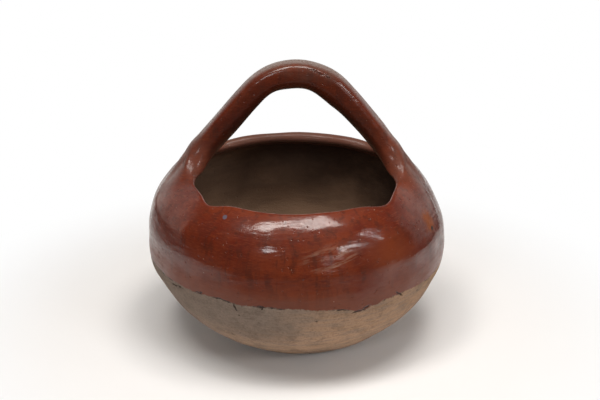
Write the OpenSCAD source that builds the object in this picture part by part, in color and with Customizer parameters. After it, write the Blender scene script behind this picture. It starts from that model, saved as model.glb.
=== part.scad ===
// Handled pottery bowl: a squat bowl raised from a moulded base and rings of
// coiled clay, with an arched basket handle over its round mouth.
// The origin is the centre of the flat foot and +Z is up. The handle spans
// along X, and the front of the bowl faces -Y.

/* [Bowl] */
// Widest diameter of the bowl
body_d = 240; // [200:1:290]
// Height of the widest level above the foot
belly_z = 80; // [66:1:96]
// Diameter of the flat foot
foot_d = 100; // [80:1:120]
// Diameter of the mouth, over its rim
mouth_d = 184; // [152:1:196]
// Height at which the rim rounds over into its lip
rim_z = 138; // [122:1:166]
// How square the shoulder curves between belly and rim
shoulder_power = 3; // [2.4:0.1:3.6]
// How full the curve is between foot and belly
base_power = 1.77; // [1.6:0.01:2.2]

/* [Walls] */
// Thickness of the floor
floor_t = 8; // [6:0.5:10]
// Thickness of the wall at the belly
wall_t = 6.5; // [5:0.5:8]
// Thickness of the wall at the rim
rim_t = 5; // [4:0.5:6]

/* [Coils] */
// Height at which the moulded base ends, under the first coil
base_z = 72; // [62:1:78]
// Height of each rim coil on the outside
rim_coil_h = 12; // [10:0.5:16]
// How far each bevelled joint drops from the outside of the wall to the inside
lap = 5; // [2:0.5:8]
// Half of the angle that each handle foot takes of the rim, seen from above
foot_angle = 24; // [20:1:30]

/* [Handle] */
// Height of the top of the handle
handle_z = 228; // [195:1:274]
// Width of the handle from front to back
handle_w = 26; // [20:1:31]
// Thickness of the handle at its top
handle_t = 22; // [18:1:25]
// Thickness of each handle leg
leg_t = 20; // [16:1:22]
// Radius of the handle's centre line over its top
bow_r = 46; // [36:1:54]
// Radius of the centre line along each leg
leg_r = 600; // [300:10:900]
// Length of each handle foot above the rim, along the leg
foot_h = 30; // [24:1:40]
// How far each handle foot laps over the rim into the mouth
foot_lap = 5; // [2:0.5:8]

/* [Hidden] */
$fn = 96;

red_slip = [0.42, 0.13, 0.07];
buff_clay = [0.52, 0.42, 0.34];

// Length of wall, in height, between two points of a course's outline
outline_step = 3;
// Corners of the rounded lip's half circle
lip_steps = 8;
// Height over the floor below which the wall's inside has no points of its own
floor_blend = 0.5;

// The three coils share the wall between the base and the rim in equal heights
coil_count = 3;
rim_seam_z = rim_z - rim_coil_h;
coil_h = (rim_seam_z - base_z) / coil_count;

// The bowl's outline, as radius against height
belly_r = body_d / 2;
function curve_r(t, power) = pow(1 - pow(t, power), 1 / power);
shoulder_h = (rim_z - belly_z) / curve_r(mouth_d / body_d, shoulder_power);
base_h = belly_z / curve_r(foot_d / body_d, base_power);
function is_above(z) = z > belly_z;
function power_at(z) = is_above(z) ? shoulder_power : base_power;
function height_at(z) = is_above(z) ? shoulder_h : base_h;
function belly_share(z) = abs(z - belly_z) / height_at(z);
function outer_r(z) = belly_r * curve_r(belly_share(z), power_at(z));
function outer_point(z) = [outer_r(z), z];
function outer_slope(z) =
    let (power = power_at(z) - 1,
         out = pow(outer_r(z) / belly_r, power) / belly_r,
         up = pow(belly_share(z), power) / height_at(z))
    [out, is_above(z) ? up : -up];
function outer_normal(z) = outer_slope(z) / norm(outer_slope(z));

// The inner face follows the outer one at the wall's thickness
function blend(a, b, t) = a + (b - a) * t;
function wall_at(z) = is_above(z)
    ? blend(wall_t, rim_t, (z - belly_z) / (rim_z - belly_z))
    : blend(floor_t, wall_t, z / belly_z);
function inner_point(z) = outer_point(z) - wall_at(z) * outer_normal(z);

function levels(from, to) =
    let (count = ceil(abs(to - from) / outline_step))
    [for (i = [0:count]) from + (to - from) * i / count];
function outer_side(from, to) = [for (z = levels(from, to)) outer_point(z)];
function inner_side(from, to) = [for (z = levels(from, to)) inner_point(z)];

// The lip's half circle closes the top of the wall
lip_centre = (outer_point(rim_z) + inner_point(rim_z)) / 2;
lip_start = atan2(outer_normal(rim_z)[1], outer_normal(rim_z)[0]);
lip_arc = [for (i = [1:lip_steps - 1])
    lip_centre + rim_t / 2 * [cos(lip_start + 180 * i / lip_steps),
                              sin(lip_start + 180 * i / lip_steps)]];

function course_outline(low, high) =
    concat(outer_side(low, high), inner_side(high - lap, low - lap));
rim_outline = concat(outer_side(rim_seam_z, rim_z), lip_arc,
                     inner_side(rim_z, rim_seam_z - lap));

module course(low, high) {
    color(red_slip) rotate_extrude() polygon(course_outline(low, high));
}

module rim_arc(middle_angle, span) {
    rotate(middle_angle - span / 2) rotate_extrude(angle = span) polygon(rim_outline);
}

// The handle's centre line: an arc over the top that runs on into a flatter arc
// along each leg, and lands on the middle of the lip. Points are [x, z].
arch_top_z = handle_z - handle_t / 2;
top_centre = [0, arch_top_z - bow_r];
top_to_lip = lip_centre - top_centre;
lip_reach = norm(top_to_lip);
lip_way = top_to_lip / lip_reach;
centre_gap = leg_r - bow_r;
along_way = (centre_gap * centre_gap - leg_r * leg_r + lip_reach * lip_reach) / (2 * lip_reach);
across_way = sqrt(centre_gap * centre_gap - along_way * along_way);
leg_centre = top_centre + along_way * lip_way + across_way * [lip_way[1], -lip_way[0]];
function steepness(from, to) = atan2(to[0] - from[0], to[1] - from[1]);
bow_angle = steepness(leg_centre, top_centre);
lip_angle = steepness(leg_centre, lip_centre);
seam_angle = lip_angle - foot_h / leg_r * 180 / PI;

// The centre line's slope is the angle that it is followed by: 0 at the top,
// then steeper down a leg
function centre_at(slope) =
    let (steep = abs(slope),
         centre = steep < bow_angle
             ? top_centre + bow_r * [sin(steep), cos(steep)]
             : leg_centre + leg_r * [sin(steep), cos(steep)])
    [sign(slope) * centre[0], centre[1]];

// A ring of the handle is a rounded strap section between its outer and its inner
// side, each an [x, z] point. A flared ring, with flare up to 1, bends round with
// the rim and passes over from its own sides in the middle to end_sides at its ends.
ring_sides = 24;
strap_power = 2.3;
foot_half = lip_centre[0] * sin(foot_angle);
function strap_side(wave) = sign(wave) * pow(abs(wave), 2 / strap_power);
function swell(side) = pow(cos(90 * min(1, abs(side) / foot_half)), 2);
function strap_ring(sides, width, end_sides, flare) =
    [for (i = [0:ring_sides - 1])
        let (turn = 360 * i / ring_sides,
             side = width / 2 * strap_side(cos(turn)),
             outward = (1 + strap_side(sin(turn))) / 2,
             own = 1 - flare * (1 - swell(side)),
             at = blend(blend(end_sides[1], sides[1], own), blend(end_sides[0], sides[0], own), outward),
             tuck = flare > 0 ? flare * (at[0] - sqrt(at[0] * at[0] - side * side)) : 0)
        [at[0] - tuck, side, at[1]]];

// The outer and inner side of the handle where its centre line has a given slope
function handle_sides(slope, thick) =
    let (out = thick / 2 * [sin(slope), cos(slope)])
    [centre_at(slope) + out, centre_at(slope) - out];

// A sweep joins its rings by flat triangles, and closes each end by a strip of
// triangles from side to side, which also holds where the end ring is bent
function side_faces(rings) = [for (i = [0:rings - 2], j = [0:ring_sides - 1])
    let (k = (j + 1) % ring_sides, low = i * ring_sides, high = low + ring_sides)
    each [[low + j, low + k, high + k], [low + j, high + k, high + j]]];
half_sides = ring_sides / 2;
end_strip = [for (j = [0:half_sides - 1])
    let (k = j + 1, over_j = ring_sides - j, over_k = ring_sides - k)
    each concat(k < half_sides ? [[j, k, over_k]] : [], j > 0 ? [[j, over_k, over_j]] : [])];
function start_faces() = [for (face = end_strip) [face[2], face[1], face[0]]];
function last_faces(rings) = [for (face = end_strip) [for (p = face) p + (rings - 1) * ring_sides]];

module swept(rings) {
    polyhedron(points = [for (ring = rings) each ring],
               faces = concat(side_faces(len(rings)), start_faces(), last_faces(len(rings))));
}

// The bow runs from one seam to the other, with even turns over the top
bow_turns = 10;
leg_turns = 2;
half_bow = concat(
    [for (i = [1:bow_turns]) bow_angle * i / bow_turns],
    [for (i = [1:leg_turns]) blend(bow_angle, seam_angle, i / leg_turns)]);
bow_slopes = concat([for (i = [len(half_bow) - 1:-1:0]) -half_bow[i]], [0], half_bow);
function bow_thickness(slope) = blend(handle_t, leg_t, min(1, abs(slope) / bow_angle));

module handle_bow() {
    color(red_slip)
        swept([for (slope = bow_slopes)
            let (sides = handle_sides(slope, bow_thickness(slope)))
            strap_ring(sides, handle_w, sides, 0)]);
}

// Each foot flares down the leg, lands on the lip and runs on over the wall, where
// it thins out from root_rise to toe_rise and dives in at toe_z. Its rings reach
// past its own part of the rim, stand out from the wall by wall_cover of the wall's
// thickness there, and are cut back to that part afterwards.
spread_power = 2.2;
past_edge = 1.3;
wall_cover = 0.35;
past_lip = 0.6 * rim_t;
root_rise = 0.43 * leg_t;
toe_rise = 0.15 * rim_t;
toe_dive = 0.4;
toe_z = rim_seam_z - 1.6 * lap;
function spread_w(r) = 2 * past_edge * r * sin(foot_angle);
function wall_sides(z, outside) =
    [outer_point(z) + outside * outer_normal(z),
     inner_point(z) - wall_cover * wall_at(z) * outer_normal(z)];
function edge_sides(z) = wall_sides(z, wall_cover * wall_at(z));
along_lip = [-outer_normal(rim_z)[1], outer_normal(rim_z)[0]];
lip_sides = [for (side = edge_sides(rim_z)) side + past_lip * along_lip];
leg_rings = [for (share = [0:0.2:0.8])
    strap_ring(handle_sides(blend(seam_angle, lip_angle, share), leg_t),
               blend(handle_w, spread_w(lip_centre[0]), pow(share, spread_power)),
               lip_sides, share)];
toe_rings = [for (share = [0:0.2:0.8])
    let (z = blend(rim_z, toe_z, share))
    strap_ring(wall_sides(z, toe_rise + root_rise * pow(1 - share, 2)),
               spread_w(outer_r(z)), edge_sides(z), 1)];
toe_end = wall_sides(toe_z, -toe_dive * wall_at(toe_z));
toe_end_ring = strap_ring(toe_end, spread_w(outer_r(toe_z)), toe_end, 1);

// The clay below the rim coils, filled to the axis, takes no part of a foot
module filled_below_rim() {
    seam_inside = inner_point(rim_seam_z - lap);
    rotate_extrude() polygon(concat([[0, base_z]], outer_side(base_z, rim_seam_z),
                                    [seam_inside, [0, seam_inside[1]]]));
}

// The hollow that stays free between the two feet
module mouth_hollow() {
    lip_inside = inner_point(rim_z);
    lap_r = lip_inside[0] - foot_lap;
    seam_inside = inner_point(rim_seam_z - lap);
    low_z = seam_inside[1] - rim_coil_h;
    rotate_extrude() polygon([[0, low_z], [seam_inside[0], low_z], seam_inside,
                              [lap_r, lip_inside[1]], [lap_r, rim_z], [0, rim_z]]);
}

// Everything past the angle that a foot takes, on one side of it
module beyond(side) {
    far = body_d + handle_z;
    rotate(side * foot_angle) translate([0, side * far / 2, 0])
        cube([2 * far, far, 2 * far], center = true);
}

module right_foot_solid() {
    difference() {
        swept(concat(leg_rings, toe_rings, [toe_end_ring]));
        mouth_hollow();
        filled_below_rim();
        beyond(1);
        beyond(-1);
    }
}

module base_bowl() {
    floor_points = [for (p = inner_side(base_z - lap, 0)) if (p[1] > floor_t + floor_blend) p];
    color(buff_clay) rotate_extrude()
        polygon(concat([[0, 0]], outer_side(0, base_z), floor_points,
                       [[inner_point(0)[0], floor_t], [0, floor_t]]));
}

module lower_coil() {
    course(base_z, base_z + coil_h);
}

module middle_coil() {
    course(base_z + coil_h, base_z + 2 * coil_h);
}

module upper_coil() {
    course(base_z + 2 * coil_h, rim_seam_z);
}

module front_rim_coil() {
    color(red_slip) rim_arc(-90, 180 - 2 * foot_angle);
}

module back_rim_coil() {
    color(red_slip) rim_arc(90, 180 - 2 * foot_angle);
}

module left_handle_foot() {
    color(red_slip) mirror([1, 0, 0]) right_foot_solid();
}

module right_handle_foot() {
    color(red_slip) right_foot_solid();
}

base_bowl();
lower_coil();
middle_coil();
upper_coil();
front_rim_coil();
back_rim_coil();
left_handle_foot();
right_handle_foot();
handle_bow();
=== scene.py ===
import math

import bmesh
import bpy
import numpy as np
from mathutils import Matrix, Vector


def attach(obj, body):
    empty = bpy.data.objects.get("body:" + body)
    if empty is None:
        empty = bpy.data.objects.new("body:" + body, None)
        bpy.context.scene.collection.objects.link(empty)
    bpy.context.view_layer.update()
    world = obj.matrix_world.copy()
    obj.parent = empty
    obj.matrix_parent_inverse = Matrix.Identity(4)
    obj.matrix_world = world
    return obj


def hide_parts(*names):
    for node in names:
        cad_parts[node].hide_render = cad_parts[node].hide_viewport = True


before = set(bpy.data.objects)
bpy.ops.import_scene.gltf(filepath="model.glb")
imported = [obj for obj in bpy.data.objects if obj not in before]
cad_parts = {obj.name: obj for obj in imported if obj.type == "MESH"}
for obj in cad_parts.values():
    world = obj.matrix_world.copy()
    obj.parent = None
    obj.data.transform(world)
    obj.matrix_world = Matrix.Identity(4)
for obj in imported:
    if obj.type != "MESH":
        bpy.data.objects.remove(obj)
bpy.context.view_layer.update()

# Bowl wall
# The squat bowl that everything else is part of: fired clay, built up from a moulded base by
# coils that were pinched and rubbed together. Sizes are in millimetres until the mesh is made.
BELLY_R = 119.3
BELLY_Z = 80.8
SHOULDER_H = 70.0
BASE_H = 94.0
SHOULDER_POWER = 3.0
BASE_POWER = 1.77
FLOOR_T = 8.0
BELLY_T = 6.5
RIM_T = 5.0
FOOT_EDGE = 3.0
FLOOR_CORNER = 12.0
RIM_Z = 137.8
LIP_FROM_Z = 100.0
# Rises and dips of the rim: azimuth from +X in degrees, height and half width in degrees
RIM_WAVES = [(0, 3.0, 25), (180, 3.0, 33), (-44, -3.6, 10.0), (-133, -2.9, 7.5), (-86, -1.0, 28),
             (46, -4.0, 10.0), (133, -3.4, 10.0), (90, 0.3, 25)]
BACK_LIP = 3.8
LEFT_HOLLOW = 0.6
RIGHT_HOLLOW = 1.9
COIL_PITCH = 18.0
COIL_RIDGE = 0.14


def ramp(value, low, high):
    share = np.clip((value - low) / (high - low), 0, 1)
    return share * share * (3 - 2 * share)


def outline(z):
    """Height share, power and height scale of the outline at z."""
    high = np.where(z > BELLY_Z, SHOULDER_H, BASE_H)
    power = BASE_POWER + (SHOULDER_POWER - BASE_POWER) * ramp(z, 55, 100)
    return np.abs(z - BELLY_Z) / high, power, high


def outer_face(r, z):
    """Distance to the bowl's outer face, positive outside it, and how far that face looks up."""
    up, power, high = outline(z)
    out = r / BELLY_R
    level = np.maximum(out ** power + up ** power, 1e-9) ** (1 / power)
    lean_r = (out / level) ** (power - 1) / BELLY_R
    lean_z = (up / level) ** (power - 1) / high
    steep = np.hypot(lean_r, lean_z)
    return (level - 1) / steep, lean_r / steep, lean_z / steep


def outer_gap(r, z):
    return outer_face(r, z)[0]


def outer_r(z):
    up, power, high = outline(z)
    return BELLY_R * np.maximum(1 - up ** power, 0) ** (1 / power)


def wall_t(z):
    upper = BELLY_T + (RIM_T - BELLY_T) * np.clip((z - BELLY_Z) / (RIM_Z - BELLY_Z), 0, 1)
    lower = FLOOR_T + (BELLY_T - FLOOR_T) * np.clip(z / BELLY_Z, 0, 1)
    return np.where(z > BELLY_Z, upper, lower)


def turned(azimuth, centre):
    return (azimuth - centre + 180) % 360 - 180


def rim_height(azimuth):
    height = np.full_like(azimuth, RIM_Z)
    for centre, rise, width in RIM_WAVES:
        height += rise * np.exp(-(turned(azimuth, centre) / width) ** 2)
    return height


def past_rim(x, y, r, z):
    """How far a point lies past the middle of the lip, along the wall."""
    top = rim_height(np.degrees(np.arctan2(y, x)))
    edge = outer_r(top)
    step = 0.5
    lean = np.arctan2(outer_r(top - step) - edge, step)
    half = RIM_T / 2
    lip_r = edge - half * np.cos(lean)
    lip_z = top - half * np.sin(lean)
    return (lip_r - r) * np.sin(lean) + (z - lip_z) * np.cos(lean)


def union(a, b, blend):
    share = np.maximum(blend - np.abs(a - b), 0) / blend
    return np.minimum(a, b) - share * share * blend / 4


def overlap(a, b, blend):
    return -union(-a, -b, blend)


def hollowed_gap(x, r, z):
    """Distance to the outer face, which draws in a little under each end of the handle."""
    across = x / np.maximum(r, 1)
    side = LEFT_HOLLOW * ramp(-across, 0.7, 0.95) + RIGHT_HOLLOW * ramp(across, 0.7, 0.95)
    return outer_gap(r, z) + side * np.exp(-((z - 118) / 13) ** 2)


def wall_normal(x, y, r, z):
    """Across and up parts of the wall's outward direction, round its lip as well."""
    _, out, up = outer_face(r, z)
    middle = hollowed_gap(x, r, z) + wall_t(z) / 2
    beyond = np.maximum(past_rim(x, y, r, z), 0)
    size = np.maximum(np.hypot(middle, beyond), 0.01)
    return (middle * out - beyond * up) / size, (middle * up + beyond * out) / size, middle


def wall_gap(x, y, z):
    """Distance to the bowl's clay, negative inside it."""
    r = np.hypot(x, y)
    outside = hollowed_gap(x, r, z)
    thick = wall_t(z)
    hollow = overlap(outside + thick, FLOOR_T - z, FLOOR_CORNER)
    low = np.maximum(overlap(outside, -z, FOOT_EDGE), -hollow)
    beyond = np.maximum(past_rim(x, y, r, z), 0)
    thick = thick + BACK_LIP * ramp(y / np.maximum(r, 1), 0.1, 0.8) * ramp(z, 112, 134)
    high = np.hypot(beyond, outside + thick / 2) - thick / 2
    return np.where(z > LIP_FROM_Z, high, low)


# Handle
# A thick roll of the same clay, flattened a little, bent to an arch and pressed on to the rim at
# both ends. It was smoothed into the shoulder with the fingers while the clay was wet.
ARCH_TOP = 216.7
BOW_R = 46.0
LEG_R = 600.0
LANDING = (89.0, 135.0)
END_PAST = 17.0
TOP_T = 22.0
LEG_T = 20.0
FOOT_T = 18.0
HANDLE_W = 26.0
STRAP_POWER = 2.3
BACK_POWER = 0.5
RIDGE_POWER = 1.9
RIDGE_TO = 110.0
END_BLEND = 5.0
INNER_CLEAR = 18.0
TAPER_FROM = -26.0
TAPER_TO = -2.0
FACE_BLEND = 1.5
ROOT_BLEND = 30.0
INNER_BLEND = 0.3
# How much fuller the arch's inner side is: middle and half width across, and by how much
ARCH_SIDES = [(22, 10, 2.4), (-17, 8, -1.2), (-52, 17, 1.8)]
top_z = ARCH_TOP - BOW_R
reach = math.hypot(LANDING[0], LANDING[1] - top_z)
way = (LANDING[0] / reach, (LANDING[1] - top_z) / reach)
apart = LEG_R - BOW_R
along = (apart ** 2 - LEG_R ** 2 + reach ** 2) / (2 * reach)
across = math.sqrt(apart ** 2 - along ** 2)
leg_x = along * way[0] + across * way[1]
leg_z = top_z + along * way[1] - across * way[0]
bow_angle = math.atan2(-leg_x, top_z - leg_z)
lip_angle = math.atan2(LANDING[0] - leg_x, LANDING[1] - leg_z)
bow_length = BOW_R * bow_angle
leg_length = LEG_R * (lip_angle - bow_angle)


def along_handle(x, z):
    """Distance out from the centre line, and length along it from the top."""
    side = np.abs(x)
    turn = np.arctan2(side, z - top_z)
    steep = np.arctan2(side - leg_x, z - leg_z)
    on_bow = (turn < bow_angle) & (turn >= 0)
    out = np.where(on_bow, np.hypot(side, z - top_z) - BOW_R, np.hypot(side - leg_x, z - leg_z) - LEG_R)
    length = np.where(on_bow, BOW_R * turn, bow_length + LEG_R * (steep - bow_angle))
    return out, length, np.where(on_bow, turn, steep)


def handle_gap(x, y, z):
    out, length, turn = along_handle(x, z)
    share = np.clip((length - bow_length) / leg_length, 0, 1)
    half_t = (TOP_T + (LEG_T - TOP_T) * ramp(length, 0, bow_length) + (FOOT_T - LEG_T) * share) / 2
    for middle, width, more in ARCH_SIDES:
        half_t = half_t + np.where(out < 0, more * np.exp(-((x - middle) / width) ** 2), 0)
    half_w = HANDLE_W / 2
    across_t = np.abs(out) / half_t
    across_w = np.abs(y) / half_w
    on_top = ramp(out, -3, 3) * (1 - ramp(length, RIDGE_TO - 40, RIDGE_TO))
    power = STRAP_POWER + on_top * (BACK_POWER + (RIDGE_POWER - BACK_POWER) * ramp(-y, -3, 3))
    level = np.maximum(across_t ** power + across_w ** power, 1e-9) ** (1 / power)
    lean_t = (across_t / level) ** (power - 1) / half_t
    lean_w = (across_w / level) ** (power - 1) / half_w
    steep = np.hypot(lean_t, lean_w)
    side = (level - 1) / steep
    normal = (np.sign(out * x) * np.sin(turn) * lean_t / steep, np.sign(y) * lean_w / steep,
              np.sign(out) * np.cos(turn) * lean_t / steep)
    past_lip = length - bow_length - leg_length
    side = overlap(side, past_lip - END_PAST, END_BLEND)
    r = np.hypot(x, y)
    clear = INNER_CLEAR * (1 - ramp(past_lip, TAPER_FROM, TAPER_TO)) + 100 * ramp(-past_lip, 30, 60)
    inner_face = -hollowed_gap(x, r, z) - wall_t(z) - clear
    return overlap(side, inner_face, END_BLEND), normal


# The pot's skin
# Bowl and handle run into each other with soft hollows, so their surface is one field. It is
# meshed on a grid, evened out, and given the slight waves of hand work.
CELL = 1.4
WAVE_COUNT = 26
WAVE_SIZE = 0.17
# Sideways lean of the pot: from one height to another, and how far
LEANS = [(-30, -20, 2.3), (0, 34, -2.3), (84, 128, -1.7), (150, 216, 1.6)]
LOW_SWELL = 1.4
rng = np.random.default_rng(7)
wave_ways = rng.normal(size=(WAVE_COUNT, 3))
wave_ways /= np.linalg.norm(wave_ways, axis=1)[:, None]
wave_ways *= 2 * math.pi / rng.uniform(26, 80, WAVE_COUNT)[:, None]
wave_starts = rng.uniform(0, 2 * math.pi, WAVE_COUNT)


def hand_waves(points):
    total = np.zeros(len(points))
    for way_now, start in zip(wave_ways, wave_starts):
        total += np.sin(points @ way_now + start)
    ridge = np.cos(2 * math.pi * (points[:, 2] - 81) / COIL_PITCH) * ramp(points[:, 2], 60, 76)
    ridge *= 1 - ramp(points[:, 2], 128, 136)
    low_swell = LOW_SWELL * np.exp(-((points[:, 2] - 34) / 15) ** 2) * (1 - ramp(-points[:, 0], 20, 80))
    return WAVE_SIZE * total / math.sqrt(WAVE_COUNT / 4) + COIL_RIDGE * ridge + low_swell


def upright(x, z):
    """The place across the handle if the pot stood quite straight."""
    shift = np.zeros(len(x))
    for low, high, lean in LEANS:
        shift += lean * ramp(z, low, high)
    return x - shift


def pot_gap(points):
    """The union of bowl and handle, with a hollow between them where their faces cross."""
    x, y, z = points.T
    x = upright(x, z)
    gap = wall_gap(x, y, z)
    near = z > 95
    x, y, z = x[near], y[near], z[near]
    handle, normal = handle_gap(x, y, z)
    r = np.maximum(np.hypot(x, y), 1)
    out, up, middle = wall_normal(x, y, r, z)
    alike = out * (x * normal[0] + y * normal[1]) / r + up * normal[2]
    outside = INNER_BLEND + (1 - INNER_BLEND) * ramp(middle, -RIM_T, 0)
    blend = FACE_BLEND + (ROOT_BLEND - FACE_BLEND) * outside * ramp(1 - alike, 0, 0.8)
    gap[near] = union(gap[near], handle, blend)
    return gap


def skin_gap(points):
    return pot_gap(points) - hand_waves(points) * ramp(points[:, 2], 0.5, 12)


def slope(points, step=0.2):
    lean = np.empty_like(points)
    for axis in range(3):
        shift = np.zeros(3)
        shift[axis] = step
        lean[:, axis] = (skin_gap(points + shift) - skin_gap(points - shift)) / (2 * step)
    return lean


def settle(points):
    gap = skin_gap(points)
    lean = slope(points)
    move = gap / np.maximum((lean ** 2).sum(1), 0.2)
    return points - np.clip(move, -CELL, CELL)[:, None] * lean


def grid_inside():
    low = np.array([-126.0, -126.0, -4.0])
    count = np.ceil((np.array([126.0, 126.0, 233.0]) - low) / CELL).astype(int)
    x = low[0] + CELL * np.arange(count[0])
    y = low[1] + CELL * np.arange(count[1])
    inside = np.zeros(count, bool)
    for layer in range(count[2]):
        z = low[2] + CELL * layer
        px, py = np.meshgrid(x, y, indexing="ij")
        pz = np.full_like(px, z)
        shell = np.maximum(outer_gap(np.hypot(px, py), pz), -pz)
        out, length, turn = along_handle(px, pz)
        near = (np.abs(shell + 4) < 11) | ((np.abs(out) < 22) & (np.abs(py) < 40) & (z > 100))
        if near.any():
            points = np.stack([px[near], py[near], pz[near]], 1)
            inside[:, :, layer][near] = pot_gap(points) < 0
    return low, inside


def surface_net(low, inside):
    """One point in each grid cell that the surface crosses, and a face for each crossed edge."""
    corner = inside.astype(np.int8)
    for axis in range(3):
        corner = np.take(corner, range(corner.shape[axis] - 1), axis) + np.take(
            corner, range(1, corner.shape[axis]), axis)
    crossed = (corner > 0) & (corner < 8)
    number = np.full(crossed.shape, -1)
    number[crossed] = np.arange(crossed.sum())
    points = low + (np.argwhere(crossed) + 0.5) * CELL
    faces = []
    for axis in range(3):
        nearer = np.take(inside, range(inside.shape[axis] - 1), axis)
        further = np.take(inside, range(1, inside.shape[axis]), axis)
        for leaving in (True, False):
            edge = np.argwhere(nearer & ~further if leaving else further & ~nearer)
            ring = []
            for du, dv in ((-1, -1), (0, -1), (0, 0), (-1, 0)):
                cell = edge.copy()
                cell[:, (axis + 1) % 3] += du
                cell[:, (axis + 2) % 3] += dv
                ring.append(number[tuple(cell.T)])
            faces.append(np.stack(ring if leaving else ring[::-1], 1))
    return points, np.concatenate(faces)


def evened(points, faces, rounds):
    ends = np.concatenate([faces[:, [i, (i + 1) % 4]] for i in range(4)])
    count = np.bincount(ends[:, 0], minlength=len(points))
    for _ in range(rounds):
        mean = np.stack([np.bincount(ends[:, 0], points[ends[:, 1], axis], len(points))
                         for axis in range(3)], 1) / count[:, None]
        points = settle(points + 0.6 * (mean - points))
    return points


skin_points, skin_faces = surface_net(*grid_inside())
skin_points = evened(settle(skin_points), skin_faces, 3)
skin_points = settle(skin_points)
skin_points[:, 2] = np.maximum(skin_points[:, 2], 0)


def mesh_object(name, points, faces):
    """A mesh from points in millimetres."""
    mesh = bpy.data.meshes.new(name)
    mesh.from_pydata((np.asarray(points) / 1000).tolist(), [], np.asarray(faces).tolist()
                     if not isinstance(faces, list) else faces)
    mesh.update()
    piece = bpy.data.objects.new(name, mesh)
    bpy.context.scene.collection.objects.link(piece)
    return piece


pot = mesh_object("pot_skin", skin_points, skin_faces)

# Cutting the pot into its courses
# The wall is parted along the bevelled joints between one course of clay and the next, and the
# handle across its legs. Each piece keeps the pot's own skin, so that no seam shows.
LAP = 5.0
TURNS = 180


def seam_line(z, inner, outer):
    """The joint's slanted line between two radii, outermost point first."""
    high = (float(outer_r(np.array(z))), z)
    low_z = z - LAP
    low_r = float(outer_r(np.array(low_z))) - float(wall_t(np.array(low_z)))
    rise = LAP / (high[0] - low_r)
    return [(outer, high[1] + (outer - high[0]) * rise), (inner, high[1] + (inner - high[0]) * rise)]


def turned_cutter(outline_points, start, end):
    """A closed solid from an outline of radius and height, between two azimuths."""
    whole = end - start >= 360
    count = max(3, round(TURNS * (end - start) / 360))
    angles = np.radians(start + (end - start) * np.arange(count + (0 if whole else 1)) / count)
    size = len(outline_points)
    points = [(r * math.cos(a), r * math.sin(a), z) for a in angles for r, z in outline_points]
    faces = []
    for i in range(count):
        j = (i + 1) % len(angles)
        for k in range(size):
            n = (k + 1) % size
            faces.append((i * size + k, j * size + k, j * size + n, i * size + n))
    if not whole:
        faces.append(tuple(range(size)))
        faces.append(tuple(reversed(range(count * size, (count + 1) * size))))
    return mesh_object("cutter", points, faces)


def block_cutter(corners, half_depth):
    """A closed prism across Y from a ring of corners in X and Z."""
    size = len(corners)
    points = [(x, y, z) for y in (-half_depth, half_depth) for x, z in corners]
    faces = [(k, (k + 1) % size, size + (k + 1) % size, size + k) for k in range(size)]
    faces += [tuple(reversed(range(size))), tuple(range(size, 2 * size))]
    return mesh_object("cutter", points, faces)


def outward(cutter):
    shape = bmesh.new()
    shape.from_mesh(cutter.data)
    bmesh.ops.recalc_face_normals(shape, faces=shape.faces)
    if shape.calc_volume(signed=True) < 0:
        bmesh.ops.reverse_faces(shape, faces=shape.faces)
    shape.to_mesh(cutter.data)
    shape.free()


clay_skin = bpy.data.materials.new("clay_skin")
joint_clay = bpy.data.materials.new("joint_clay")
pot.data.materials.append(clay_skin)


def cut(name, cutters):
    """The part of the pot inside all the cutters, with the skin's own smooth shading."""
    piece = pot.copy()
    piece.data = pot.data.copy()
    piece.name = piece.data.name = name
    bpy.context.scene.collection.objects.link(piece)
    bpy.context.view_layer.objects.active = piece
    for cutter in cutters:
        outward(cutter)
        cutter.data.materials.append(joint_clay)
        modifier = piece.modifiers.new("cut", "BOOLEAN")
        modifier.operation = "INTERSECT"
        modifier.solver = "MANIFOLD"
        modifier.object = cutter
        modifier.material_mode = "TRANSFER"
        with bpy.context.temp_override(object=piece, active_object=piece, selected_objects=[piece]):
            bpy.ops.object.modifier_apply(modifier=modifier.name)
        bpy.data.objects.remove(cutter)
    finish_skin(piece)
    return piece


# Lower edge of the red slip, as azimuth in degrees and height
SLIP_LINE = [(-180, 73.6), (-150, 74.4), (-139, 74.7), (-131, 73.5), (-118, 75.2), (-112, 73.1),
             (-103, 73.7), (-91, 73.2), (-82, 71.8), (-72, 70.3), (-67, 65.6), (-62, 68.7),
             (-56, 71.1), (-48, 71.7), (-31, 70.6), (0, 71.4), (24, 70.2), (50, 72.6), (83, 71.0),
             (104, 73.8), (121, 70.2), (150, 74.2), (180, 73.6)]


def slip_edge(x, y):
    """Height of the lower edge of the red slip, by azimuth."""
    azimuth = np.degrees(np.arctan2(y, x))
    where, height = np.array(SLIP_LINE).T
    return np.interp(azimuth, where, height)


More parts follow.
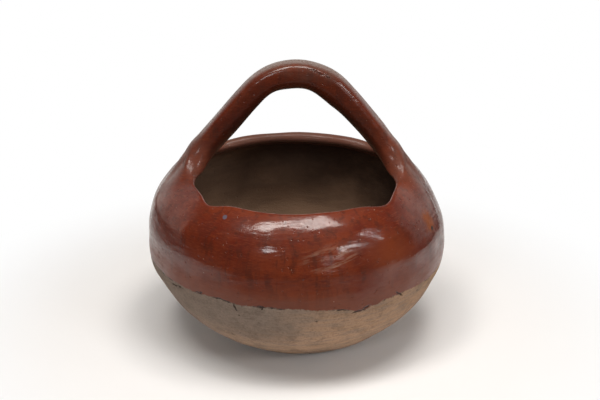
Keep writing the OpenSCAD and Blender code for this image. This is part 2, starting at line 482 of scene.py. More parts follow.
def finish_skin(piece):
    mesh = piece.data
    count = len(mesh.vertices)
    points = np.empty(count * 3)
    mesh.vertices.foreach_get("co", points)
    points = points.reshape(-1, 3) * 1000
    lean = slope(points)
    lean /= np.maximum(np.linalg.norm(lean, axis=1), 1e-6)[:, None]
    x, y, z = points.T
    x = upright(x, z)
    r = np.hypot(x, y)
    middle = outer_gap(r, z) + wall_t(z) / 2
    depth = np.minimum(-past_rim(x, y, r, z), -8 * middle)
    depth = np.where(z > LIP_FROM_Z, depth, -8 * middle)
    for label, values in (("above_slip_edge", z - slip_edge(x, y)), ("inside_depth", depth)):
        attribute = mesh.attributes.new(label, "FLOAT", "POINT")
        attribute.data.foreach_set("value", values.astype(np.float32))
    slots = np.empty(len(mesh.polygons), np.int32)
    mesh.polygons.foreach_get("material_index", slots)
    starts = np.empty(len(mesh.polygons), np.int32)
    mesh.polygons.foreach_get("loop_start", starts)
    totals = np.empty(len(mesh.polygons), np.int32)
    mesh.polygons.foreach_get("loop_total", totals)
    corner_points = np.empty(len(mesh.loops), np.int32)
    mesh.loops.foreach_get("vertex_index", corner_points)
    flat = np.empty(len(mesh.polygons) * 3)
    mesh.polygons.foreach_get("normal", flat)
    owner = np.repeat(np.arange(len(mesh.polygons)), totals)
    normals = lean[corner_points]
    on_joint = slots[owner] > 0
    normals[on_joint] = flat.reshape(-1, 3)[owner[on_joint]]
    mesh.shade_smooth()
    mesh.normals_split_custom_set(normals.tolist())


FAR_R = 140.0
NEAR_R = 92.0
SEAMS = [72.0, 90.0, 108.0, 126.0]
FOOT_ANGLE = 24.0

below_first = [(0, -10), (FAR_R, -10), *seam_line(SEAMS[0], NEAR_R, FAR_R)]
pieces = {"base_bowl": cut("base_bowl_clay", [turned_cutter(
    [*below_first, (0, below_first[-1][1])], 0, 360)])}
for name, low_seam, high_seam in (("lower_coil", 72.0, 90.0), ("middle_coil", 90.0, 108.0),
                                  ("upper_coil", 108.0, 126.0)):
    low_line = seam_line(low_seam, NEAR_R, FAR_R)
    high_line = seam_line(high_seam, NEAR_R, FAR_R)
    ring = [low_line[1], low_line[0], *high_line]
    pieces[name] = cut(name + "_clay", [turned_cutter(ring, 0, 360)])
rim_line = seam_line(SEAMS[3], NEAR_R, FAR_R)
RIM_TOP = 150.0
rim_ring = [(78, rim_line[1][1]), rim_line[1], rim_line[0], (FAR_R, RIM_TOP), (78, RIM_TOP)]
pieces["front_rim_coil"] = cut("front_rim_coil_clay", [turned_cutter(
    rim_ring, -180 + FOOT_ANGLE, -FOOT_ANGLE)])
pieces["back_rim_coil"] = cut("back_rim_coil_clay", [turned_cutter(
    rim_ring, FOOT_ANGLE, 180 - FOOT_ANGLE)])

FOOT_H = 30.0
FAR = 300.0
seam_angle = lip_angle - FOOT_H / LEG_R
seam_x = leg_x + LEG_R * math.sin(seam_angle)
seam_z = leg_z + LEG_R * math.cos(seam_angle)
in_x, in_z = -math.sin(seam_angle), -math.cos(seam_angle)


def leg_side(side, below):
    """A wide block on one side of the cut across a leg."""
    out = (side * (seam_x - FAR * in_x), seam_z - FAR * in_z)
    inner = (side * (seam_x + 60 * in_x), seam_z + 60 * in_z)
    drop = (side * FAR * math.cos(seam_angle), -FAR * math.sin(seam_angle))
    if not below:
        drop = (-drop[0], -drop[1])
    return block_cutter([inner, out, (out[0] + drop[0], out[1] + drop[1]),
                         (inner[0] + drop[0], inner[1] + drop[1])], FAR)


foot_ring = [(40, rim_line[1][1]), rim_line[1], rim_line[0], (FAR_R, 190), (40, 190)]
for name, side, middle in (("left_handle_foot", -1, 180), ("right_handle_foot", 1, 0)):
    pieces[name] = cut(name + "_clay", [
        turned_cutter(foot_ring, middle - FOOT_ANGLE, middle + FOOT_ANGLE),
        leg_side(side, True)])
bow_cut = [(-seam_x + 60 * in_x * -1, seam_z + 60 * in_z), (seam_x + 60 * in_x, seam_z + 60 * in_z)]
bow_ring = [(-(seam_x + 60 * in_x), seam_z + 60 * in_z), (seam_x + 60 * in_x, seam_z + 60 * in_z),
            (seam_x - 60 * in_x, seam_z - 60 * in_z), (seam_x - 60 * in_x, 260),
            (-(seam_x - 60 * in_x), 260), (-(seam_x - 60 * in_x), seam_z - 60 * in_z)]
pieces["handle_bow"] = cut("handle_bow_clay", [block_cutter(bow_ring, 60)])
bpy.data.objects.remove(pot)

for node, piece in pieces.items():
    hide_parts(node)
    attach(piece, "root")


# Fired clay
# Every piece is the same sandy clay. A red slip was brushed on from the rim to just under the
# belly and rubbed with a smooth stone until it shone; the clay below it and inside is bare.
def add(tree, kind, **settings):
    made = tree.nodes.new("ShaderNode" + kind)
    for key, value in settings.items():
        setattr(made, key, value)
    return made


def feed(tree, target, socket, source):
    """Sets a socket to a value, or links it to another node's output."""
    if isinstance(source, bpy.types.NodeSocket):
        tree.links.new(source, target.inputs[socket])
    else:
        target.inputs[socket].default_value = source


def maths(tree, operation, *values, clamp=False):
    made = add(tree, "Math", operation=operation, use_clamp=clamp)
    for place, value in enumerate(values):
        feed(tree, made, place, value)
    return made.outputs[0]


def spread(tree, value, low, high, to_low=0.0, to_high=1.0, soft=True):
    """A value's range between low and high, taken to another range."""
    made = add(tree, "MapRange", interpolation_type="SMOOTHSTEP" if soft else "LINEAR")
    for place, number in enumerate((value, low, high, to_low, to_high)):
        feed(tree, made, place, number)
    return made.outputs[0]


def tint(tree, share, first, second, mode="MIX"):
    made = add(tree, "Mix", data_type="RGBA", blend_type=mode)
    for place, value in ((0, share), (6, first), (7, second)):
        feed(tree, made, place, value)
    return made.outputs[2]


def noise(tree, place, scale, detail=4.0, rough=0.55, warp=0.0):
    made = add(tree, "TexNoise")
    for socket, value in (("Vector", place), ("Scale", scale), ("Detail", detail),
                          ("Roughness", rough), ("Distortion", warp)):
        feed(tree, made, socket, value)
    return made.outputs["Fac"]


def stretched(tree, scale):
    """The piece's own coordinates, scaled by axis."""
    place = add(tree, "TexCoord")
    made = add(tree, "Mapping")
    feed(tree, made, "Vector", place.outputs["Object"])
    feed(tree, made, "Scale", scale)
    return made.outputs[0]


def slanted(tree, turn, scale):
    """The piece's own coordinates, turned about Y and then scaled by axis."""
    made = add(tree, "Mapping", vector_type="TEXTURE")
    feed(tree, made, "Vector", add(tree, "TexCoord").outputs["Object"])
    feed(tree, made, "Rotation", (0, turn, 0))
    feed(tree, made, "Scale", tuple(1 / part for part in scale))
    return made.outputs[0]


def group(name, inputs, outputs):
    tree = bpy.data.node_groups.new(name, "ShaderNodeTree")
    for label, kind in inputs:
        tree.interface.new_socket(label, in_out="INPUT", socket_type=kind)
    for label, kind in outputs:
        tree.interface.new_socket(label, in_out="OUTPUT", socket_type=kind)
    return tree, tree.nodes.new("NodeGroupInput").outputs, tree.nodes.new("NodeGroupOutput")


def use(tree, made, **values):
    node = add(tree, "Group", node_tree=made)
    for label, value in values.items():
        feed(tree, node, label.replace("_", " "), value)
    return node.outputs


FLOAT = "NodeSocketFloat"
VECTOR = "NodeSocketVector"
WHOLE = (1, 1, 1)


def centred(tree, value, size):
    """A noise value made to swing about nought."""
    return maths(tree, "MULTIPLY", maths(tree, "SUBTRACT", value, 0.5), size)


def vectors(tree, operation, *values):
    made = add(tree, "VectorMath", operation=operation)
    for place, value in enumerate(values):
        feed(tree, made, place, value)
    return made.outputs["Value" if operation in ("LENGTH", "DOT_PRODUCT") else "Vector"]


mottle, given, result = group("mottle", [], [("Broad", FLOAT), ("Middle", FLOAT), ("Fine", FLOAT)])
whole = stretched(mottle, WHOLE)
feed(mottle, result, "Broad", noise(mottle, whole, 15, 3, 0.5, 0.4))
feed(mottle, result, "Middle", noise(mottle, whole, 75, 5, 0.62))
feed(mottle, result, "Fine", noise(mottle, whole, 620, 4, 0.7))

specks, given, result = group("specks", [("Scale", FLOAT), ("Reach", FLOAT), ("Share", FLOAT)],
                              [("Mask", FLOAT)])
cells = add(specks, "TexVoronoi", feature="F1")
feed(specks, cells, "Vector", stretched(specks, WHOLE))
feed(specks, cells, "Scale", given["Scale"])
parts = add(specks, "SeparateColor")
feed(specks, parts, 0, cells.outputs["Color"])
chosen = maths(specks, "LESS_THAN", parts.outputs[0], given["Share"])
size = maths(specks, "MULTIPLY", given["Reach"], spread(specks, parts.outputs[1], 0, 1, 0.35, 1.0))
within = spread(specks, maths(specks, "DIVIDE", cells.outputs["Distance"], size), 0.5, 1.0, 1.0, 0.0)
feed(specks, result, "Mask", maths(specks, "MULTIPLY", chosen, within))

strokes, given, result = group("strokes", [("Scale", FLOAT), ("Flatness", FLOAT)],
                               [("Broad", FLOAT), ("Fine", FLOAT)])
flat = add(strokes, "CombineXYZ")
for axis, value in ((0, 1.0), (1, 1.0), (2, given["Flatness"])):
    feed(strokes, flat, axis, value)
place = vectors(strokes, "MULTIPLY", add(strokes, "TexCoord").outputs["Object"], flat.outputs[0])
feed(strokes, result, "Broad", noise(strokes, place, given["Scale"], 3, 0.55, 0.3))
feed(strokes, result, "Fine", noise(strokes, place, maths(strokes, "MULTIPLY", given["Scale"], 4.5), 4, 0.62))

patch, given, result = group("patch", [("Centre", VECTOR), ("Size", VECTOR), ("Ragged", FLOAT),
                                       ("Soft", FLOAT)], [("Mask", FLOAT)])
whole = stretched(patch, WHOLE)
off = vectors(patch, "SUBTRACT", whole, given["Centre"])
far = vectors(patch, "LENGTH", vectors(patch, "DIVIDE", off, given["Size"]))
far = maths(patch, "ADD", far, maths(patch, "MULTIPLY", given["Ragged"], centred(
    patch, noise(patch, whole, 90, 4, 0.6), 1.0)))
feed(patch, result, "Mask", spread(patch, far, maths(patch, "SUBTRACT", 1.0, given["Soft"]), 1.0, 1.0, 0.0))

crack, given, result = group("crack", [("Start", VECTOR), ("End", VECTOR), ("Width", FLOAT)],
                             [("Mask", FLOAT)])
whole = stretched(crack, WHOLE)
shaky = vectors(crack, "SUBTRACT", add(crack, "TexNoise").outputs["Color"], (0.5, 0.5, 0.5))
for node in crack.nodes:
    if node.bl_idname == "ShaderNodeTexNoise":
        feed(crack, node, "Vector", whole)
        feed(crack, node, "Scale", 240.0)
shaky = vectors(crack, "MULTIPLY", shaky, (0.004, 0.004, 0.004))
from_start = vectors(crack, "SUBTRACT", vectors(crack, "ADD", whole, shaky), given["Start"])
run = vectors(crack, "SUBTRACT", given["End"], given["Start"])
share = maths(crack, "DIVIDE", vectors(crack, "DOT_PRODUCT", from_start, run), vectors(
    crack, "DOT_PRODUCT", run, run), clamp=True)
nearest = add(crack, "VectorMath", operation="SCALE")
feed(crack, nearest, 0, run)
feed(crack, nearest, "Scale", share)
far = vectors(crack, "LENGTH", vectors(crack, "SUBTRACT", from_start, nearest.outputs[0]))
thin = maths(crack, "MULTIPLY", given["Width"], spread(crack, maths(
    crack, "ABSOLUTE", centred(crack, share, 2.0)), 0.5, 1.0, 1.0, 0.3))
feed(crack, result, "Mask", spread(crack, maths(crack, "DIVIDE", far, thin), 0.4, 1.0, 1.0, 0.0))

cover, given, result = group("slip_cover", [], [
    ("Slip", FLOAT), ("Edge", FLOAT), ("Inside", FLOAT), ("Low", FLOAT), ("Lip", FLOAT)])
height = add(cover, "Attribute", attribute_name="above_slip_edge").outputs["Fac"]
depth = add(cover, "Attribute", attribute_name="inside_depth").outputs["Fac"]
whole = stretched(cover, WHOLE)
ragged = centred(cover, noise(cover, whole, 150, 5, 0.62), 3.6)
grain = centred(cover, noise(cover, whole, 600, 3, 0.6), 1.0)
edge_height = maths(cover, "ADD", maths(cover, "ADD", height, ragged), grain)
feed(cover, result, "Slip", spread(cover, edge_height, -0.6, 0.6))
gaps = spread(cover, noise(cover, stretched(cover, (1, 1, 0.4)), 90, 3, 0.6), 0.48, 0.66)
band = maths(cover, "ABSOLUTE", maths(cover, "ADD", edge_height, 0.2))
feed(cover, result, "Edge", maths(cover, "MULTIPLY", spread(cover, band, 0.15, 0.75, 1.0, 0.0), gaps))
inner_ragged = centred(cover, noise(cover, whole, 60, 4, 0.6), 6.0)
feed(cover, result, "Inside", spread(cover, maths(cover, "ADD", depth, inner_ragged), 5.0, 13.0))
feed(cover, result, "Low", spread(cover, edge_height, 4.0, 22.0, 1.0, 0.0))
lip_place = maths(cover, "ABSOLUTE", maths(cover, "SUBTRACT", depth, 0.6))
feed(cover, result, "Lip", spread(cover, lip_place, 0.4, 3.0, 1.0, 0.0))

SLIP_DEEP = (0.096, 0.0108, 0.0030, 1)
SLIP_BRIGHT = (0.152, 0.0245, 0.0066, 1)
SLIP_BROWN = (0.056, 0.0120, 0.0058, 1)
# Orange red of thin slip, and also used as painted light on the right of the shoulder
SLIP_THIN_AND_LIT = (0.178, 0.036, 0.011, 1)
# Used only as painted reflection of the pale table on the lowest band of slip
SLIP_PAINTED_TABLE_REFLECTION = (0.195, 0.060, 0.032, 1)
# A greyed slip used only as painted sheen, on the handle's top and ends and on the rims
SLIP_PAINTED_SHEEN = (0.122, 0.072, 0.054, 1)
SLIP_ORANGE = (0.225, 0.052, 0.0060, 1)
LIP_BRIGHT = (0.275, 0.135, 0.075, 1)
BARE_GREY = (0.248, 0.188, 0.148, 1)
BARE_WARM = (0.415, 0.256, 0.158, 1)
BARE_PALE = (0.520, 0.340, 0.225, 1)
BARE_DARK = (0.085, 0.058, 0.042, 1)
INNER_DARK = (0.055, 0.033, 0.024, 1)
INNER_PALE = (0.245, 0.150, 0.094, 1)
# Near black for cracks, pits and dark dots, and also for painted shade under the handle and inside the pot
CRACK_AND_SHADE_DARK = (0.020, 0.010, 0.008, 1)
# Pale for specks in the clay, and also for painted highlight streaks on the slip
PALE_SPECK_AND_GLINT = (0.42, 0.27, 0.19, 1)
BLUE_GREY = (0.100, 0.078, 0.100, 1)

# Cracks and pits along the slip's edge, from one end to the other and how wide, in metres
CRACKS = [((0.0410, -0.1105, 0.0655), (0.0559, -0.1049, 0.0700), 0.0013),
          ((0.0737, -0.0931, 0.0747), (0.0804, -0.0866, 0.0698), 0.0010),
          ((0.0026, -0.1188, 0.0736), (0.0319, -0.1144, 0.0713), 0.0005),
          ((-0.0290, -0.1155, 0.0743), (-0.0235, -0.1163, 0.0738), 0.0011),
          ((-0.0240, -0.1163, 0.0735), (-0.0262, -0.1160, 0.0710), 0.0009),
          ((-0.0465, -0.1102, 0.0735), (-0.0433, -0.1095, 0.0663), 0.0012),
          ((-0.0755, -0.0920, 0.0741), (-0.0699, -0.0964, 0.0755), 0.0009),
          ((-0.0956, -0.0709, 0.0714), (-0.0861, -0.0826, 0.0728), 0.0010)]
# A crease left in the top of the handle, in front
CREASE = ((0.0087, -0.0114, 0.2242), (0.0263, -0.0119, 0.2172), 0.0013)


def clay_material(material):
    material.use_nodes = True
    tree = material.node_tree
    bsdf = tree.nodes["Principled BSDF"]
    tone = use(tree, mottle)
    stroke = use(tree, strokes, Scale=26.0, Flatness=4.0)
    brush = use(tree, strokes, Scale=48.0, Flatness=7.0)
    mask = use(tree, cover)
    pale = use(tree, specks, Scale=260.0, Reach=0.16, Share=0.12)["Mask"]
    pits = use(tree, specks, Scale=270.0, Reach=0.28, Share=0.6)["Mask"]
    flaws = use(tree, specks, Scale=140.0, Reach=0.2, Share=0.12)["Mask"]

    slip = tint(tree, spread(tree, tone["Broad"], 0.36, 0.64), SLIP_DEEP, SLIP_BRIGHT)
    slip = tint(tree, spread(tree, tone["Middle"], 0.46, 0.64, 0.0, 0.35), slip, SLIP_BROWN)
    slip = tint(tree, spread(tree, tone["Middle"], 0.34, 0.46, 0.25, 0.0), slip, SLIP_THIN_AND_LIT)
    drips = noise(tree, stretched(tree, (1, 1, 0.2)), 190, 3, 0.6)
    slip = tint(tree, spread(tree, drips, 0.5, 0.66, 0.0, 0.6), slip, SLIP_BROWN)
    slip = tint(tree, spread(tree, stroke["Fine"], 0.5, 0.68, 0.0, 0.65), slip, SLIP_DEEP)
    slip = tint(tree, spread(tree, brush["Fine"], 0.5, 0.68, 0.0, 0.5), slip, SLIP_THIN_AND_LIT)
    slip = tint(tree, spread(tree, tone["Fine"], 0.5, 0.66, 0.0, 0.3), slip, SLIP_DEEP)
    # Painted light: the slip on the front right of the shoulder is lightened towards the thin slip's orange red.
    painted_light_right = use(tree, patch, Centre=(0.070, -0.093, 0.105), Size=(0.036, 0.03, 0.026), Ragged=0.6,
               Soft=0.9)["Mask"]
    slip = tint(tree, maths(tree, "MULTIPLY", painted_light_right, 0.85), slip, SLIP_THIN_AND_LIT)
    # Painted reflection: the lowest band of slip, just above its edge, is lightened to a pinkish grey for the pale
    # table mirrored in it.
    slip = tint(tree, maths(tree, "MULTIPLY", mask["Low"], 0.6), slip, SLIP_PAINTED_TABLE_REFLECTION)
    place = add(tree, "SeparateXYZ")
    feed(tree, place, 0, stretched(tree, WHOLE))
    # Along the lip the slip turns paler: in front a bright orange line, partly thin worn slip and partly a painted
    # highlight on the edge, and behind a grey painted sheen on the rim's top.
    lip_colour = tint(tree, spread(tree, place.outputs["Y"], -0.02, 0.06), LIP_BRIGHT, SLIP_PAINTED_SHEEN)
    slip = tint(tree, maths(tree, "MULTIPLY", mask["Lip"], 0.85), slip, lip_colour)
    # Painted highlights: faint pale diagonal streaks on the front of the shoulder, a little right of the middle;
    # the coat is also glossier along them.
    glint_streaks = noise(tree, slanted(tree, -0.26, (1, 1, 7)), 42, 3, 0.6)
    glint_streaks_place = use(tree, patch, Centre=(0.026, -0.1125, 0.111), Size=(0.026, 0.03, 0.011), Ragged=0.8,
                      Soft=0.7)["Mask"]
    glint_streaks = maths(tree, "MULTIPLY", spread(tree, glint_streaks, 0.48, 0.58), glint_streaks_place)
    slip = tint(tree, maths(tree, "MULTIPLY", glint_streaks, 0.3), slip, PALE_SPECK_AND_GLINT)
    slip = tint(tree, maths(tree, "MULTIPLY", pits, 0.12), slip, CRACK_AND_SHADE_DARK)
    slip = tint(tree, maths(tree, "MULTIPLY", pale, 0.55), slip, PALE_SPECK_AND_GLINT)
    orange = use(tree, patch, Centre=(0.1015, -0.0475, 0.1135), Size=(0.012, 0.012, 0.012), Ragged=1.6,
                 Soft=0.8)["Mask"]
    slip = tint(tree, maths(tree, "MULTIPLY", orange, 0.8), slip, SLIP_ORANGE)
    # Painted sheen: the top of the back rim is greyed for the light it catches from above; further down the coat
    # is dulled there too.
    back_rim = use(tree, patch, Centre=(0, 0.075, 0.145), Size=(0.12, 0.06, 0.03), Ragged=0.2, Soft=0.4)["Mask"]
    slip = tint(tree, maths(tree, "MULTIPLY", back_rim, 0.6), slip, SLIP_PAINTED_SHEEN)
    # Painted shade: the front of the handle's arch is darkened towards brown.
    painted_shade_handle_front = use(tree, patch, Centre=(0, -0.010, 0.196), Size=(0.11, 0.03, 0.05), Ragged=0.7,
                  Soft=0.7)["Mask"]
    slip = tint(tree, maths(tree, "MULTIPLY", painted_shade_handle_front, 0.55), slip, SLIP_BROWN)
    # Where the handle's ends meet the shoulder the slip is greyed a little as painted sheen, and further down the
    # coat is dulled there too.
    roots = [use(tree, patch, Centre=(x, -0.015, 0.148), Size=(0.03, 0.035, 0.042), Ragged=0.5,
                 Soft=0.8)["Mask"] for x in (-0.080, 0.082)]
    roots = maths(tree, "ADD", roots[0], roots[1])
    slip = tint(tree, maths(tree, "MULTIPLY", roots, 0.28), slip, SLIP_PAINTED_SHEEN)
    # Painted sheen: the top of the handle's arch is greyed, standing in for the bright ceiling mirrored in its
    # gloss.
    painted_sheen_handle_top = use(tree, patch, Centre=(0.003, 0.004, 0.232), Size=(0.1, 0.022, 0.036), Ragged=0.6,
               Soft=0.7)["Mask"]
    slip = tint(tree, maths(tree, "MULTIPLY", painted_sheen_handle_top, 0.9), slip, SLIP_PAINTED_SHEEN)
    # Painted shade: under the handle's arch and on the inner sides of its legs the slip is darkened towards near
    # black.
    under = use(tree, patch, Centre=(0, 0, 0.162), Size=(0.078, 0.05, 0.044), Ragged=0.2, Soft=0.3)["Mask"]
    slip = tint(tree, maths(tree, "MULTIPLY", under, 0.58), slip, CRACK_AND_SHADE_DARK)
    dot = use(tree, patch, Centre=(0.1047, -0.0477, 0.1073), Size=(0.002, 0.003, 0.0022), Ragged=0.5,
              Soft=0.5)["Mask"]
    slip = tint(tree, dot, slip, CRACK_AND_SHADE_DARK)
    fleck = use(tree, patch, Centre=(-0.0528, -0.086, 0.1325), Size=(0.0019, 0.0021, 0.0019), Ragged=1.5,
                Soft=0.4)["Mask"]
    slip = tint(tree, fleck, slip, BLUE_GREY)

    # The bare clay goes from grey on the left and higher up to a lighter warm tan on the right and lower down:
    # partly the clay's own colour, partly painted light on the side towards the lamps on the right.
    rightward = maths(tree, "ADD", place.outputs["X"], maths(tree, "MULTIPLY", place.outputs["Z"], -0.9))
    rightward = maths(tree, "ADD", rightward, centred(tree, tone["Broad"], 0.12))
    bare = tint(tree, spread(tree, rightward, -0.11, 0.01), BARE_GREY, BARE_WARM)
    blotch = use(tree, patch, Centre=(-0.026, -0.1, 0.042), Size=(0.04, 0.03, 0.026), Ragged=2.0,
                 Soft=0.9)["Mask"]
    bare = tint(tree, maths(tree, "MULTIPLY", blotch, 0.3), bare, BARE_DARK)
    bare = tint(tree, spread(tree, place.outputs["Z"], 0.008, 0.052, 0.95, 0.0), bare, BARE_PALE)
    bare = tint(tree, spread(tree, tone["Middle"], 0.46, 0.64, 0.0, 0.32), bare, BARE_DARK)
    bare = tint(tree, spread(tree, brush["Broad"], 0.42, 0.62, 0.0, 0.5), bare, BARE_GREY)
    bare = tint(tree, spread(tree, brush["Fine"], 0.5, 0.66, 0.0, 0.28), bare, BARE_DARK)
    bare = tint(tree, spread(tree, tone["Fine"], 0.5, 0.66, 0.0, 0.3), bare, BARE_DARK)
    bare = tint(tree, spread(tree, tone["Fine"], 0.32, 0.44, 0.3, 0.0), bare, PALE_SPECK_AND_GLINT)
    bare = tint(tree, maths(tree, "MULTIPLY", flaws, 0.8), bare, BARE_DARK)

    inner = tint(tree, spread(tree, tone["Broad"], 0.3, 0.7, 0.35, 0.85), INNER_DARK, INNER_PALE)
    inner = tint(tree, spread(tree, stroke["Broad"], 0.45, 0.7, 0.0, 0.25), inner, INNER_DARK)
    # Painted shade: the inside of the right-hand wall, which faces away from the lamps on the right, is darkened
    # to near black.
    painted_shade_inside_right = use(tree, patch, Centre=(0.095, 0.02, 0.088), Size=(0.092, 0.13, 0.075), Ragged=0.3,
               Soft=0.75)["Mask"]
    inner = tint(tree, maths(tree, "MULTIPLY", painted_shade_inside_right, 0.97), inner, CRACK_AND_SHADE_DARK)
    # Painted shade: the inside of the back wall, just under the rim, is darkened to near black.
    painted_shade_inside_back = use(tree, patch, Centre=(0.02, 0.1, 0.125), Size=(0.12, 0.07, 0.056), Ragged=0.3,
                Soft=0.8)["Mask"]
    inner = tint(tree, maths(tree, "MULTIPLY", painted_shade_inside_back, 0.85), inner, CRACK_AND_SHADE_DARK)

    cracks = mask["Edge"]
    for start, end, width in CRACKS:
        cracks = maths(tree, "MAXIMUM", cracks, use(tree, crack, Start=start, End=end, Width=width)["Mask"])
    cracks = maths(tree, "MULTIPLY", cracks, maths(tree, "SUBTRACT", 1.0, mask["Inside"]))

    crease = use(tree, crack, Start=CREASE[0], End=CREASE[1], Width=CREASE[2])["Mask"]
    cracks = maths(tree, "MAXIMUM", cracks, maths(tree, "MULTIPLY", crease, 0.55))

    colour = tint(tree, mask["Slip"], bare, slip)
    colour = tint(tree, maths(tree, "MULTIPLY", cracks, 0.85), colour, CRACK_AND_SHADE_DARK)
    colour = tint(tree, mask["Inside"], colour, inner)
    feed(tree, bsdf, "Base Color", colour)

    shine = spread(tree, tone["Middle"], 0.3, 0.7, 0.34, 0.5)
    shine = maths(tree, "ADD", shine, spread(tree, stroke["Fine"], 0.4, 0.7, -0.03, 0.08))
    dull = spread(tree, mask["Slip"], 0.0, 1.0, 0.9, 0.0)
    dull = maths(tree, "MAXIMUM", dull, maths(tree, "MULTIPLY", mask["Inside"], 0.8))
    feed(tree, bsdf, "Roughness", maths(tree, "MAXIMUM", shine, dull))

    slip_coat = maths(tree, "MULTIPLY", mask["Slip"], maths(tree, "SUBTRACT", 1.0, mask["Inside"]))
    rough_clay = maths(tree, "SUBTRACT", 1.0, slip_coat)
    relief = maths(tree, "MULTIPLY", stroke["Broad"], 0.0006)
    for amount, value in ((spread(tree, rough_clay, 0, 1, 0.00002, 0.0002), tone["Fine"]),
                          (spread(tree, rough_clay, 0, 1, 0.00003, 0.0003), brush["Fine"]),
                          (-0.0002, pits), (-0.0009, cracks), (0.0002, slip_coat)):
        relief = maths(tree, "ADD", relief, maths(tree, "MULTIPLY", amount, value))
    bump = add(tree, "Bump")
    bump.inputs["Strength"].default_value = 1.0
    bump.inputs["Distance"].default_value = 1.0
    feed(tree, bump, "Height", relief)
    feed(tree, bsdf, "Normal", bump.outputs[0])
    feed(tree, bsdf, "Coat Normal", bump.outputs[0])
    polished = maths(tree, "SUBTRACT", 1.0, rough_clay)
    rubbed = spread(tree, tone["Middle"], 0.35, 0.65, 0.98, 0.78)
    rubbed = maths(tree, "MULTIPLY", rubbed, spread(tree, tone["Fine"], 0.4, 0.6, 1.0, 0.72))
    # The coat is a little glossier along the painted highlight streaks.
    rubbed = maths(tree, "ADD", rubbed, maths(tree, "MULTIPLY", glint_streaks, 0.3))
    dusty = maths(tree, "MULTIPLY", roots, 0.7)
    dusty = maths(tree, "MAXIMUM", dusty, maths(tree, "MULTIPLY", back_rim, 0.85))
    dusty = maths(tree, "MAXIMUM", dusty, maths(tree, "MULTIPLY", mask["Lip"], 0.7))
    arch = use(tree, patch, Centre=(0, 0, 0.22), Size=(0.12, 0.06, 0.06), Ragged=0.3, Soft=0.4)["Mask"]
    dusty = maths(tree, "MAXIMUM", dusty, maths(tree, "MULTIPLY", arch, 0.3))
    dusty = maths(tree, "MAXIMUM", dusty, maths(tree, "MULTIPLY", orange, 0.8))
    dusty = maths(tree, "MAXIMUM", dusty, maths(tree, "MULTIPLY", mask["Low"], 0.6))
    dusty = maths(tree, "MAXIMUM", dusty, pits)
    rubbed = maths(tree, "MULTIPLY", rubbed, maths(tree, "SUBTRACT", 1.0, dusty))
    feed(tree, bsdf, "Coat Weight", maths(tree, "MULTIPLY", polished, rubbed))
    bsdf.inputs["Coat Roughness"].default_value = 0.13
    bsdf.inputs["Coat IOR"].default_value = 1.5
    bsdf.inputs["IOR"].default_value = 1.22


clay_material(clay_skin)


def shader(material):
    material.use_nodes = True
    return material.node_tree, material.node_tree.nodes["Principled BSDF"]


# The joints between courses are raw scored clay
joint_tree, joint_shader = shader(joint_clay)
joint_tone = use(joint_tree, mottle)
joint_marks = use(joint_tree, strokes, Scale=90.0, Flatness=3.0)
joint_colour = tint(joint_tree, spread(joint_tree, joint_tone["Broad"], 0.3, 0.7), BARE_GREY, BARE_WARM)
joint_colour = tint(joint_tree, spread(joint_tree, joint_marks["Fine"], 0.5, 0.7, 0, 0.6), joint_colour, BARE_DARK)
feed(joint_tree, joint_shader, "Base Color", joint_colour)
feed(joint_tree, joint_shader, "Roughness", spread(joint_tree, joint_tone["Fine"], 0.3, 0.7, 0.8, 0.95))

# Table
# A wide plain pale table top that carries on past the picture. Far from the pot it is plain
# white to the camera, and near the pot it takes the shadow. Its front part, out of the picture,
# darkens towards the edge.
TABLE_FRONT = -420
TABLE_BACK = 1450
TABLE_SIDE = 480
TABLE_PALE = (0.8, 0.8, 0.8, 1)
TABLE_DARK = (0.1, 0.1, 0.1, 1)
floor = mesh_object("table", [(-TABLE_SIDE, TABLE_FRONT, 0), (TABLE_SIDE, TABLE_FRONT, 0),
                              (TABLE_SIDE, TABLE_BACK, 0), (-TABLE_SIDE, TABLE_BACK, 0)], [(0, 1, 2, 3)])
floor_material = bpy.data.materials.new("pale_table")
floor.data.materials.append(floor_material)
floor_tree, floor_shader = shader(floor_material)
floor_place = add(floor_tree, "SeparateXYZ")
feed(floor_tree, floor_place, 0, add(floor_tree, "TexCoord").outputs["Object"])
front_dark = spread(floor_tree, floor_place.outputs["Y"], -0.36, -0.13)
feed(floor_tree, floor_shader, "Base Color", tint(floor_tree, front_dark, TABLE_DARK, TABLE_PALE))
floor_shader.inputs["Roughness"].default_value = 0.9
floor_shader.inputs["Specular IOR Level"].default_value = 0.1
plain_white = floor_tree.nodes.new("ShaderNodeEmission")
plain_white.inputs["Color"].default_value = (1, 1, 1, 1)
plain_white.inputs["Strength"].default_value = 1.0
from_pot = vectors(floor_tree, "LENGTH", add(floor_tree, "TexCoord").outputs["Object"])
far_off = spread(floor_tree, from_pot, 0.16, 0.34)
to_camera = maths(floor_tree, "MULTIPLY", far_off, add(floor_tree, "LightPath").outputs["Is Camera Ray"])
floor_mix = floor_tree.nodes.new("ShaderNodeMixShader")
feed(floor_tree, floor_mix, 0, to_camera)
feed(floor_tree, floor_mix, 1, floor_shader.outputs[0])
feed(floor_tree, floor_mix, 2, plain_white.outputs[0])
floor_tree.links.new(floor_mix.outputs[0], floor_tree.nodes["Material Output"].inputs["Surface"])

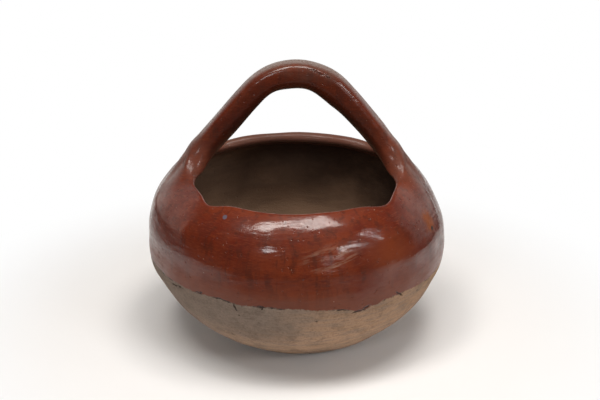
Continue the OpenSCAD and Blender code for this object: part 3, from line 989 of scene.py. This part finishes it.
# Backdrop
# A tall white paper roll that stands in a half circle behind the table and shines back at the pot.
ROLL_R = 1500.0
ROLL_H = 1500.0
ROLL_STEPS = 24
ROLL_SHINE = 0.5
ROLL_WARM = (1.0, 0.93, 0.86, 1)
roll_ways = [math.pi * (0.04 + 0.92 * step / ROLL_STEPS) for step in range(ROLL_STEPS + 1)]
roll_points = [(ROLL_R * math.cos(a), ROLL_R * math.sin(a), z) for z in (0, ROLL_H) for a in roll_ways]
roll_faces = [(i, i + 1, ROLL_STEPS + i + 2, ROLL_STEPS + i + 1) for i in range(ROLL_STEPS)]
roll = mesh_object("backdrop", roll_points, roll_faces)
roll_material = bpy.data.materials.new("white_paper")
roll.data.materials.append(roll_material)
roll_tree, roll_shader = shader(roll_material)
roll_shader.inputs["Base Color"].default_value = (0.82, 0.82, 0.82, 1)
roll_white = roll_tree.nodes.new("ShaderNodeEmission")
roll_path = add(roll_tree, "LightPath")
roll_white.inputs["Strength"].default_value = 1.0
feed(roll_tree, roll_white, "Color", tint(roll_tree, roll_path.outputs["Is Camera Ray"], ROLL_WARM, (1, 1, 1, 1)))
roll_place = add(roll_tree, "SeparateXYZ")
feed(roll_tree, roll_place, 0, add(roll_tree, "TexCoord").outputs["Object"])
behind = spread(roll_tree, roll_place.outputs["Y"], 0.1, 1.3, 0.1, ROLL_SHINE)
behind = maths(roll_tree, "MULTIPLY", behind, spread(roll_tree, roll_place.outputs["Z"], 0.65, 0.95, 1.0, 0.4))
roll_shine = maths(roll_tree, "MULTIPLY", roll_path.outputs["Is Glossy Ray"], behind)
roll_seen = maths(roll_tree, "MAXIMUM", roll_path.outputs["Is Camera Ray"], roll_shine)
roll_mix = roll_tree.nodes.new("ShaderNodeMixShader")
feed(roll_tree, roll_mix, 0, roll_seen)
feed(roll_tree, roll_mix, 1, roll_shader.outputs[0])
feed(roll_tree, roll_mix, 2, roll_white.outputs[0])
roll_tree.links.new(roll_mix.outputs[0], roll_tree.nodes["Material Output"].inputs["Surface"])

# Light
# Two soft boxes side by side overhead, a small one on the left, and three on the right, one of
# them a tall strip, as the highlights on the burnished slip show.
def soft_box(name, way, distance, size, radiance, colour=(1, 1, 1)):
    """An area lamp, as bright as its radiance, that looks at the pot from a direction."""
    centre = Vector((0, 0, 0.11))
    place = centre + Vector(way).normalized() * distance
    light = bpy.data.lights.new(name, "AREA")
    light.shape = "RECTANGLE"
    light.size, light.size_y = size
    light.energy = radiance * math.pi * size[0] * size[1]
    light.color = colour
    lamp = bpy.data.objects.new(name, light)
    lamp.location = place
    lamp.rotation_mode = "QUATERNION"
    lamp.rotation_quaternion = (centre - place).to_track_quat("-Z", "Y")
    bpy.context.scene.collection.objects.link(lamp)
    return lamp


soft_box("overhead_left", (-0.25, -0.30, 0.92), 1.4, (0.35, 0.58), 15, (1, 0.95, 0.9))
soft_box("overhead_right", (0.17, -0.20, 0.965), 1.4, (0.62, 0.52), 13, (1, 0.95, 0.9))
soft_box("small_left", (-0.29, -0.86, 0.39), 1.5, (0.30, 0.26), 12)
soft_box("patch_right", (0.62, -0.64, 0.43), 1.5, (0.48, 0.24), 12)
soft_box("strip_right", (0.77, -0.31, 0.55), 1.5, (0.02, 0.40), 36)
soft_box("low_right", (0.42, -0.89, 0.17), 1.5, (0.5, 0.25), 2.0)

WORLD_LIGHT = 0.05
world = bpy.data.worlds.new("studio")
bpy.context.scene.world = world
world.use_nodes = True
nodes, links = world.node_tree.nodes, world.node_tree.links
path = nodes.new("ShaderNodeLightPath")
seen = nodes["Background"]
seen.inputs["Color"].default_value = (1, 1, 1, 1)
seen.inputs["Strength"].default_value = 1.0
lit = nodes.new("ShaderNodeBackground")
lit.inputs["Color"].default_value = (1, 1, 1, 1)
lit.inputs["Strength"].default_value = WORLD_LIGHT
choose = nodes.new("ShaderNodeMixShader")
links.new(path.outputs["Is Camera Ray"], choose.inputs[0])
links.new(lit.outputs[0], choose.inputs[1])
links.new(seen.outputs[0], choose.inputs[2])
links.new(choose.outputs[0], nodes["World Output"].inputs["Surface"])

# Camera
camera = bpy.data.cameras.new("camera")
camera.lens = 73.7
camera.sensor_width = 36
viewer = bpy.data.objects.new("camera", camera)
aim = Vector((0.00255, 0, 0.1114))
pitch = math.radians(22)
back = Vector((0, -math.cos(pitch), math.sin(pitch)))
viewer.location = aim + 0.993 * back
viewer.rotation_mode = "QUATERNION"
viewer.rotation_quaternion = (-back).to_track_quat("-Z", "Y")
bpy.context.scene.collection.objects.link(viewer)
bpy.context.scene.camera = viewer
bpy.context.scene.view_settings.view_transform = "Standard"
